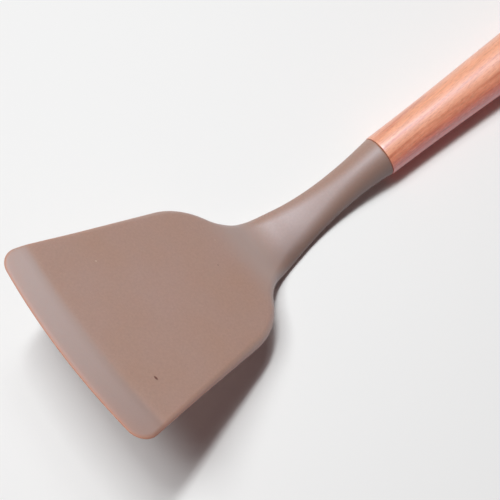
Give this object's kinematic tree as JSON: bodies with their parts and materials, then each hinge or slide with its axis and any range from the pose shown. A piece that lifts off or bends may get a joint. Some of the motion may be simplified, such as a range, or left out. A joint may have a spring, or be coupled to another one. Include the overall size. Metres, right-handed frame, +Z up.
{
  "type": "silicone turner",
  "caption": "Kitchen turner with a tilted, bevelled silicone blade on a slim neck, glued to a turned beech handle with a hanging hole.",
  "frame": {"origin": "on the surface that the turner lies on, under the middle of its length and width", "axes": "+X from the blade to the handle's butt, +Z up, with the blade's top face up"},
  "size_m": [0.3518, 0.0932, 0.068],
  "materials": {
    "silicone": "matt taupe silicone rubber, slightly translucent at its thin rim",
    "nylon": "black glass-filled nylon, moulded",
    "epoxy": "amber cured epoxy",
    "beech": "turned steamed beech, oiled to a satin"
  },
  "bodies": {
    "root": {"silicone_head": "silicone", "inner_core": "nylon", "tang_adhesive": "epoxy", "handle": "beech"}
  },
  "joints": []
}
